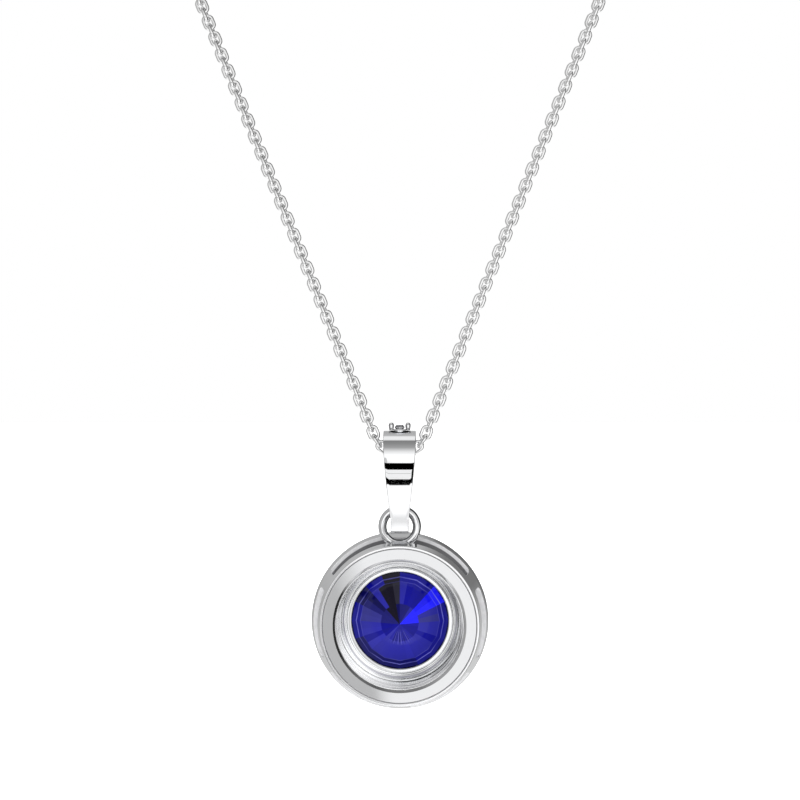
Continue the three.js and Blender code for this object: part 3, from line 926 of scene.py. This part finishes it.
def bail_section(outer, inner, bevel=0.06, steps=4):
    """Closed section across the ribbon at one place of the loop: flat, with eased, rounded edges."""
    out = Vector((0, outer[0], outer[1]))
    into = Vector((0, inner[0], inner[1])) - out
    thick = into.length
    into.normalize()
    half = bail_half_width(outer[1])
    section = []
    corners = ((-1, 0.0, 1), (1, 0.0, 1), (1, thick, -1), (-1, thick, -1))
    for side, depth, sign in corners:
        arc = []
        size = bevel if depth == 0.0 else bevel * 0.7
        drop = SHOULDER_DROP if depth == 0.0 else 0.0
        if depth == 0.0:
            for k in range(4):
                across = half - size - SHOULDER * (1 - k / 4)
                arc.append(Vector((side * across, 0, 0)) + out + into * (drop * (k / 4) ** 2))
        for k in range(steps + 1):
            a = math.pi / 2 * k / steps
            across = half - size + size * math.sin(a)
            deep = depth + drop + sign * size * (1 - math.cos(a))
            arc.append(Vector((side * across, 0, 0)) + out + into * deep)
        if side * sign < 0:
            arc.reverse()
        section += arc
    return [(p.x, CHAIN_Y - p.y, p.z) for p in section]


def make_bail(silver, clear):
    outside = mirrored(bail_outside())
    inside = mirrored(bail_inside())
    points, faces = loft([bail_section(o, i) for o, i in zip(outside, inside)])
    bail = weighted(mesh_object("ribbon_bail", points, faces, crease=50))
    stand_for(bail, "bail", silver, "silver", "bail_band")
    make_accent(silver, clear)


SEAT_R = 0.52
SEAT_HIGH = 17.3
FLANGE_R = 0.94
FLANGE_THICK = 0.09
CLAW_TURN = 0.3
CLAW_REACH = 0.78
CLAW_TIP_Z = 17.64
CLAW_TIP_R = 0.24


def make_accent(silver, clear):
    """A small round stone in a cup through the bail's crest, held by four claws with ball tips."""
    cup = rounded([
        (SEAT_R - 0.2, seat_low.z), (SEAT_R, seat_low.z), (SEAT_R, SEAT_HIGH - FLANGE_THICK),
        (FLANGE_R, SEAT_HIGH - FLANGE_THICK), (FLANGE_R, SEAT_HIGH), (SEAT_R - 0.12, SEAT_HIGH),
        (SEAT_R - 0.2, SEAT_HIGH - 0.3),
    ], [0.03, 0.05, 0.02, 0.04, 0.04, 0.03, 0.02], 4)
    points, faces = upright(cup, 64)
    for across in (-1, 1):
        for ahead in (-1, 1):
            turn = math.atan2(ahead * math.sin(CLAW_TURN), across * math.cos(CLAW_TURN))
            add_part(points, faces, *ball_claw(turn))
    setting = mesh_object("claw_cup", points, faces)
    stand_for(setting, "bail", silver, "silver", "accent_setting")
    make_accent_stone(clear)


def upright(profile, sides):
    """Turns (radius, height) points about the setting's upright axis."""
    return loft([
        [(r * math.cos(a), CHAIN_Y + r * math.sin(a), z) for r, z in profile]
        for a in turns(sides)])


def ball_claw(turn):
    """A claw: an upright prong, waisted at its foot, with a ball tip standing over the stone's edge."""
    x, y = CLAW_REACH * math.cos(turn), CLAW_REACH * math.sin(turn)
    foot = SEAT_HIGH - FLANGE_THICK / 2
    stations = [(foot, 0.19), (foot + 0.08, 0.2), (CLAW_TIP_Z - 0.08, 0.235)]
    for k in range(13):
        a = math.pi / 2 * min(k / 12, 0.97)
        stations.append((CLAW_TIP_Z + CLAW_TIP_R * math.sin(a), CLAW_TIP_R * math.cos(a)))
    sections = []
    for z, size in stations:
        sections.append([
            (x + size * math.cos(b), CHAIN_Y + y + size * math.sin(b), z)
            for b in turns(24)])
    return loft(sections, closed=False)


def make_accent_stone(clear):
    """Round brilliant: table, crown facets, thin girdle and a pointed pavilion."""
    sides = 16
    radius = accent_high.x - 0.005
    table, culet_z = accent_high.z, accent_low.z
    points, faces = [], []
    rings = ((radius, SEAT_HIGH + 0.1, 0.0), (radius, SEAT_HIGH + 0.2, 0.0), (radius * 0.7, table, 0.5))
    for r, z, half in rings:
        for k in range(sides):
            a = 2 * math.pi * (k + half) / sides
            points.append((r * math.cos(a), CHAIN_Y + r * math.sin(a), z))
    points.append((0, CHAIN_Y, culet_z))
    culet = len(points) - 1
    for k in range(sides):
        n = (k + 1) % sides
        faces.append((n, k, culet))
        faces.append((k, n, n + sides, k + sides))
        faces.append((k + sides, n + sides, k + 2 * sides))
        faces.append((n + sides, n + 2 * sides, k + 2 * sides))
    faces.append(tuple(range(2 * sides, 3 * sides)))
    stone = mesh_object("brilliant_stone", points, faces, crease=1.0)
    stand_for(stone, "bail", clear, "clear_stone", "accent_stone")


# ---- chain
BEND_END = BEND_R * (math.pi / 2 - LEAN)
ARM_FOOT = Vector((BEND_R * math.cos(LEAN), CHAIN_Y, CHAIN_Z + BEND_R * (1 - math.sin(LEAN))))
ARM_DIRECTION = Vector((math.sin(LEAN), 0, math.cos(LEAN)))
ARM_LENGTH = (ARM_TOP_Z - ARM_FOOT.z) / ARM_DIRECTION.z
ARM_TOP = ARM_FOOT + ARM_DIRECTION * ARM_LENGTH
NAPE = Vector((8.2, 82.0, 146.0))
COLLAR = (ARM_TOP, ARM_TOP + ARM_DIRECTION * 34, Vector((NAPE.x + 44, NAPE.y, NAPE.z + 4)), NAPE)


def collar_at(t):
    a, b, c, d = COLLAR
    u = 1 - t
    return a * u ** 3 + b * (3 * u * u * t) + c * (3 * u * t * t) + d * t ** 3


def collar_table(count=600):
    """Lengths along the collar's curve, so that a place on it can be found by its length."""
    lengths, last = [0.0], collar_at(0)
    for i in range(1, count + 1):
        here = collar_at(i / count)
        lengths.append(lengths[-1] + (here - last).length)
        last = here
    return lengths


COLLAR_LENGTHS = collar_table()
HALF_LENGTH = BEND_END + ARM_LENGTH + COLLAR_LENGTHS[-1]


def chain_point(s):
    if s < BEND_END:
        turn = s / BEND_R
        return Vector((BEND_R * math.sin(turn), CHAIN_Y, CHAIN_Z + BEND_R * (1 - math.cos(turn))))
    if s < BEND_END + ARM_LENGTH:
        return ARM_FOOT + ARM_DIRECTION * (s - BEND_END)
    s = min(s - BEND_END - ARM_LENGTH, COLLAR_LENGTHS[-1] - 1e-6)
    low, high = 0, len(COLLAR_LENGTHS) - 1
    while high - low > 1:
        middle = (low + high) // 2
        if COLLAR_LENGTHS[middle] <= s:
            low = middle
        else:
            high = middle
    share = (s - COLLAR_LENGTHS[low]) / (COLLAR_LENGTHS[high] - COLLAR_LENGTHS[low])
    return collar_at((low + share) / (len(COLLAR_LENGTHS) - 1))


def link_shape(around, wire, long, wide):
    """Points of one oval link in its own XY plane, long way along X, as closed wire sections."""
    straight = (long - wide) / 2
    bend = wide / 2 - WIRE
    sections = []
    for a in turns(around):
        centre = Vector((bend * math.cos(a) + math.copysign(straight, math.cos(a)), bend * math.sin(a), 0))
        out = Vector((math.cos(a), math.sin(a), 0))
        sections.append([
            centre + out * (WIRE * math.cos(b)) + Vector((0, 0, WIRE * math.sin(b)))
            for b in turns(wire)])
    return sections


EVEN_TWIST = math.radians(-6)
ODD_TWIST = math.radians(11)


def link_frame(k, side):
    """Link k's middle, its long direction and the direction square to its plane."""
    s = k * PITCH
    ahead, behind = chain_point(s + 0.2), chain_point(max(0.0, s - 0.2))
    if s < 0.2:
        behind = chain_point(0.2)
        behind.x = -behind.x
    along = (ahead - behind).normalized()
    at = chain_point(s)
    across = Vector((0, -1, 0)) if k < RUN_ENDS[-2] else FACING[k]
    across = (across - along * across.dot(along)).normalized()
    square = across if k % 2 == 0 else along.cross(across)
    square = Matrix.Rotation(EVEN_TWIST if k % 2 == 0 else ODD_TWIST, 3, along) @ square
    if side < 0:
        at, along, square = (Vector((-v.x, v.y, v.z)) for v in (at, along, square))
    return at, along, square


def facing_directions(count):
    """Carries the front-facing direction along the collar without twist."""
    directions = {}
    facing = Vector((0, -1, 0))
    for k in range(RUN_ENDS[-2], count + 2):
        s = k * PITCH
        along = (chain_point(s + 0.2) - chain_point(s - 0.2)).normalized()
        facing = (facing - along * facing.dot(along)).normalized()
        directions[k] = facing.copy()
    return directions


LAST_LINK = int((HALF_LENGTH - 0.2) / PITCH)
FACING = facing_directions(LAST_LINK + 2)


def add_oval(points, faces, at, along, square, around, wire, long=LINK_LONG, wide=LINK_WIDE):
    """One oval link about a place, from its long direction and the direction square to its plane."""
    third = square.cross(along)
    sections = []
    for section in link_shape(around, wire, long, wide):
        sections.append([tuple(at + along * p.x + third * p.y + square * p.z) for p in section])
    add_part(points, faces, *loft(sections))


def add_link(points, faces, k, side, around, wire, jitter):
    at, along, square = link_frame(k, side)
    along = along + square * jitter.uniform(-0.02, 0.02)
    along.normalize()
    square = (square - along * square.dot(along)).normalized()
    add_oval(points, faces, at, along, square, around, wire)


def add_joining_links(points, faces, side, around, wire):
    """The last flat link, and the longer upright one that ties it to the clasp's ring on its side."""
    low, high = box_mm("end_ring" if side > 0 else "jump_ring")
    ring_wire = high.z - low.z
    ring_end = high.x if side > 0 else -low.x
    ring_z = (low.z + high.z) / 2
    last, along, _ = link_frame(LAST_LINK, side)
    flat_x = max(abs(last.x) - PITCH, ring_end + LINK_LONG / 2 + GAP)
    flat = Vector((side * flat_x, last.y, last.z))
    add_oval(points, faces, flat, along, Vector((0, 0, 1)), around, wire)
    near = ring_end - ring_wire - 2 * WIRE - GAP
    far = flat_x - LINK_LONG / 2 + 4 * WIRE
    upright = Vector((side * (near + far) / 2, last.y, (last.z + ring_z) / 2))
    tilt = Vector((side, 0, (last.z - ring_z) / (far - near))).normalized()
    add_oval(points, faces, upright, tilt, Vector((0, 1, 0)), around, wire, far - near, JOINING_WIDE)


def make_chain(silver):
    jitter = random.Random(7)
    for k in range(-NEAR_LINKS, NEAR_LINKS + 1):
        points, faces = [], []
        add_link(points, faces, abs(k), -1 if k < 0 else 1, 40, 16, jitter)
        where = "middle" if k == 0 else f"left_{-k}" if k < 0 else f"right_{k}"
        obj = mesh_object(f"oval_link_{where}", points, faces)
        stand_for(obj, "run_1", silver, "silver", f"link_{where}")
    first = NEAR_LINKS + 1
    for name, last in zip(RUN_NAMES, (*RUN_ENDS, LAST_LINK)):
        body = name if name.startswith("run") else "neck_run"
        around, wire = (36, 14) if name in ("run_1", "run_2", "run_3") else (24, 8)
        for side, word in ((1, "right"), (-1, "left")):
            points, faces = [], []
            for k in range(first, last + 1):
                add_link(points, faces, k, side, around, wire, jitter)
            if last == LAST_LINK:
                add_joining_links(points, faces, side, around, wire)
            obj = mesh_object(f"links_{name}_{word}", points, faces)
            stand_for(obj, body, silver, "silver", f"chain_{name}_{word}")
        first = last + 1


# ---- clasp
TUMBLED_CREASE = 45.0


def softened(node, name, body, material, slot, edge):
    """The node's own shape with its sharp edges rounded over, as cast and tumbled silver has them."""
    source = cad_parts[node]
    bm = bmesh.new()
    bm.from_mesh(source.data)
    bm.transform(source.matrix_world)
    bmesh.ops.remove_doubles(bm, verts=bm.verts, dist=0.001 * MM)
    bmesh.ops.dissolve_limit(bm, angle_limit=math.radians(2), verts=bm.verts, edges=bm.edges)
    limit = math.radians(CREASE)
    sharp = [e for e in bm.edges if e.is_convex and e.calc_face_angle(0.0) > limit]
    bmesh.ops.bevel(bm, geom=sharp, offset=edge * MM, segments=4, profile=0.5, affect="EDGES")
    mesh = bpy.data.meshes.new(name)
    bm.to_mesh(mesh)
    bm.free()
    mesh.shade_smooth()
    mesh.set_sharp_from_angle(angle=math.radians(TUMBLED_CREASE))
    stand_for(weighted(link_object(name, mesh), TUMBLED_CREASE), body, material, slot, node)


def make_clasp(silver, steel):
    softened("clasp_body", "lobster_body", "neck_run", silver, "silver", 0.16)
    softened("clasp_lever", "lobster_lever", "lever", silver, "silver", 0.1)
    softened("clasp_pin", "hinge_pin", "neck_run", steel, "spring_steel", 0.05)
    softened("clasp_spring", "leaf_spring", "neck_run", steel, "spring_steel", 0.02)
    round_wire_ring("end_ring", "large_end_ring", "end_ring", silver, 96, 24)
    round_wire_ring("jump_ring", "small_jump_ring", "jump_ring", silver, 80, 20)


# ---- studio
CAMERA_BACK = 114.8
CAMERA_RIGHT = 1.8
CAMERA_UP = 19.9
VIEW_ANGLE = 35.0


def make_camera():
    data = bpy.data.cameras.new("camera")
    data.sensor_width = 36.0
    data.lens = 18.0 / math.tan(math.radians(VIEW_ANGLE / 2))
    data.clip_start = 0.005
    data.clip_end = 10.0
    camera = link_object("camera", data)
    camera.location = Vector((CAMERA_RIGHT, -RIM_H - CAMERA_BACK, CAMERA_UP)) * MM
    yaw = math.atan2(CAMERA_RIGHT, CAMERA_BACK)
    camera.rotation_euler = (math.pi / 2, 0, yaw)
    bpy.context.scene.camera = camera


def make_floor():
    size = 3.0
    drop = cad_low.z - 0.03
    mesh = bpy.data.meshes.new("floor")
    corners = [(x * size, y * size, drop) for x, y in ((-1, -1), (1, -1), (1, 1), (-1, 1))]
    mesh.from_pydata(corners, [], [(0, 1, 2, 3)])
    floor = link_object("floor", mesh)
    material, tree = new_material("floor paper")
    fibre = tree.noise(millimetres(tree), 0.8, 6.0)
    paper = tree.mix_colour(fibre, (0.9, 0.9, 0.9, 1), (0.94, 0.94, 0.94, 1))
    shader = tree.add(
        "ShaderNodeBsdfPrincipled", Roughness=0.9, Base_Color=paper,
        Emission_Color=(1, 1, 1, 1), Emission_Strength=0.9)
    tree.finish(shader)
    mesh.materials.append(material)
    floor.visible_glossy = False
    floor.visible_transmission = False


# The studio's brightness along its middle, by degrees up from the front horizon and over the top.
WHITE = 1.12
SKY = (
    (-180, 0.42), (-171, 0.5), (-163, 0.58), (-152, 0.72), (-138, 0.95), (-110, WHITE), (4, WHITE),
    (8, 1.02), (18, 0.86), (28, 0.62), (38, 0.38), (58, 0.27), (74, 0.23), (77, 0.84), (90, 0.94),
    (100, 0.84), (106, 0.5),
    (135, 0.42), (150, 0.5), (168, 0.55), (180, 0.42),
)
SKY_TOP = 1.2


def make_world():
    """White studio. The camera sees plain white, and mirrors see its soft boxes and dark gaps."""
    world = bpy.data.worlds.new("studio")
    bpy.context.scene.world = world
    world.use_nodes = True
    tree = Tree(world.node_tree)
    coordinates = tree.add("ShaderNodeTexCoord")
    x, y, z = tree.split(coordinates.outputs["Generated"])
    ahead = tree.times(y, -1.0)
    degrees = 180 / math.pi
    pitch = tree.times(tree.maths("ARCTAN2", z, ahead), degrees)
    elevation = tree.times(tree.maths("ARCSINE", z), degrees)
    azimuth = tree.times(tree.maths("ARCTAN2", x, ahead), degrees)

    level = sky_levels(tree, pitch)
    level = side_walls(tree, level, x, y, z)
    level = left_card(tree, level, azimuth, elevation)
    level = black_flags(tree, level, azimuth, elevation)

    seen = tree.add("ShaderNodeLightPath")
    level = tree.mix(seen.outputs["Is Camera Ray"], level, 1.0)
    colour = tree.add("ShaderNodeCombineColor")
    for channel in ("Red", "Green", "Blue"):
        tree.put(colour, channel, level)
    background = tree.add("ShaderNodeBackground", Strength=1.0, Color=colour)
    tree.add("ShaderNodeOutputWorld", Surface=background)


def sky_levels(tree, pitch):
    node = tree.add("ShaderNodeValToRGB", Fac=tree.ramp(pitch, -180, 180))
    ramp = node.color_ramp
    for i, (degree, level) in enumerate(SKY):
        place = (degree + 180) / 360
        share = level / SKY_TOP
        stop = ramp.elements[i] if i < 2 else ramp.elements.new(place)
        stop.position = place
        stop.color = (share, share, share, 1)
    return tree.times(node.outputs[0], SKY_TOP)


def side_walls(tree, level, x, y, z):
    """Mid-grey side walls, fading to white low down, and the dark opening at the right and back."""
    low = tree.ramp(z, -0.95, -0.6)
    for edge, front in ((0.7, 0.85), (-0.7, 0.42)):
        wall = tree.times(tree.ramp(x, edge / 2, edge), low)
        level = tree.mix(wall, level, tree.ramp(y, -0.4, -0.1, front, 0.42))
    above = tree.plus(z, tree.times(y, -0.85))
    opening = tree.times(tree.ramp(x, 0.15, 0.42), tree.ramp(above, -0.8, -0.55))
    opening = tree.times(opening, tree.ramp(y, -0.42, -0.22))
    return tree.mix(opening, level, tree.ramp(y, 0.3, 0.75, 0.035, 0.19))


def left_card(tree, level, azimuth, elevation):
    """A grey card just left of the lens and below it."""
    toward = tree.plus(tree.times(azimuth, -0.8), tree.times(elevation, -0.3))
    toward = tree.minus(toward, 2.1)
    share = tree.ramp(toward, 2.1, 3.5)
    inside = tree.times(tree.step(elevation, -15.6, -6.0, 0.6), tree.step(azimuth, -12, -1.6, 0.8))
    return tree.mix(tree.times(share, inside), level, 0.62)


def black_flags(tree, level, azimuth, elevation):
    """Two black flags below the lens with a lit gap between them, closed at the right."""
    near = tree.step(azimuth, -34, 32, 1.5)
    window = tree.step(elevation, -25.9, -22.2, 0.12)
    rail = tree.step(elevation, -24.25, -24.0, 0.1)
    open_gap = tree.times(window, tree.step(azimuth, -30, 3.4, 0.6))
    sagging = tree.plus(elevation, tree.times(tree.maths("POWER", azimuth, 2.0), 0.004))
    flags = tree.times(tree.step(elevation, -33.0, -15.7, 0.1), tree.ramp(sagging, -27.05, -26.95))
    flags = tree.minus(flags, open_gap, clamp=True)
    level = tree.mix(tree.times(open_gap, near), level, 0.95)
    level = tree.mix(tree.times(rail, near), level, 0.6)
    level = tree.mix(tree.times(tree.step(elevation, -30.1, -29.6, 0.3), near), level, 0.85)
    return tree.mix(tree.times(flags, near), level, 0.0)


def make_lights():
    """Large soft boxes, left, right and above, for the floor and for broad highlights."""
    for name, x, y, z, size, power in (
        ("left box", -0.5, -0.5, 0.6, 0.6, 3.0),
        ("right box", 0.6, -0.3, 0.5, 0.5, 2.0),
        ("top box", 0.0, 0.1, 0.9, 0.8, 4.0),
    ):
        data = bpy.data.lights.new(name, "AREA")
        data.size = size
        data.energy = power
        light = link_object(name, data)
        light.location = (x, y, z)
        aim = Vector((0, 0, 0.02)) - light.location
        light.rotation_euler = aim.to_track_quat("-Z", "Y").to_euler()
        light.visible_glossy = False
        light.visible_transmission = False


silver = polished_silver("silver")
wall_silver = polished_silver("wall silver", cast_side=-1)
lathe_silver = polished_silver("turned silver", finish=lathe_lines)
bowl_silver = polished_silver("bowl silver", finish=bowl_lines, cast_side=1, glow=floor_glow)
ring_silver = polished_silver("ring silver", finish=ring_wear)
chain_silver = polished_silver("chain silver", colour=(1.0, 1.0, 1.0), base_rough=0.08)
bail_silver = polished_silver("bail silver", base_rough=0.006, finish=dark_edges)
mirror = polished_silver("mirror silver", colour=(0.77, 0.775, 0.785), base_rough=0.02)
steel = spring_steel()
blue = blue_crystal()
clear = clear_crystal()
make_drum(silver, wall_silver, lathe_silver, bowl_silver, mirror, blue)
round_wire_ring("hanging_ring", "round_ring", "ring", ring_silver)
make_bail(bail_silver, clear)
make_chain(chain_silver)
make_clasp(silver, steel)
make_floor()
make_world()
make_lights()
make_camera()
bpy.context.scene.view_settings.view_transform = "Standard"
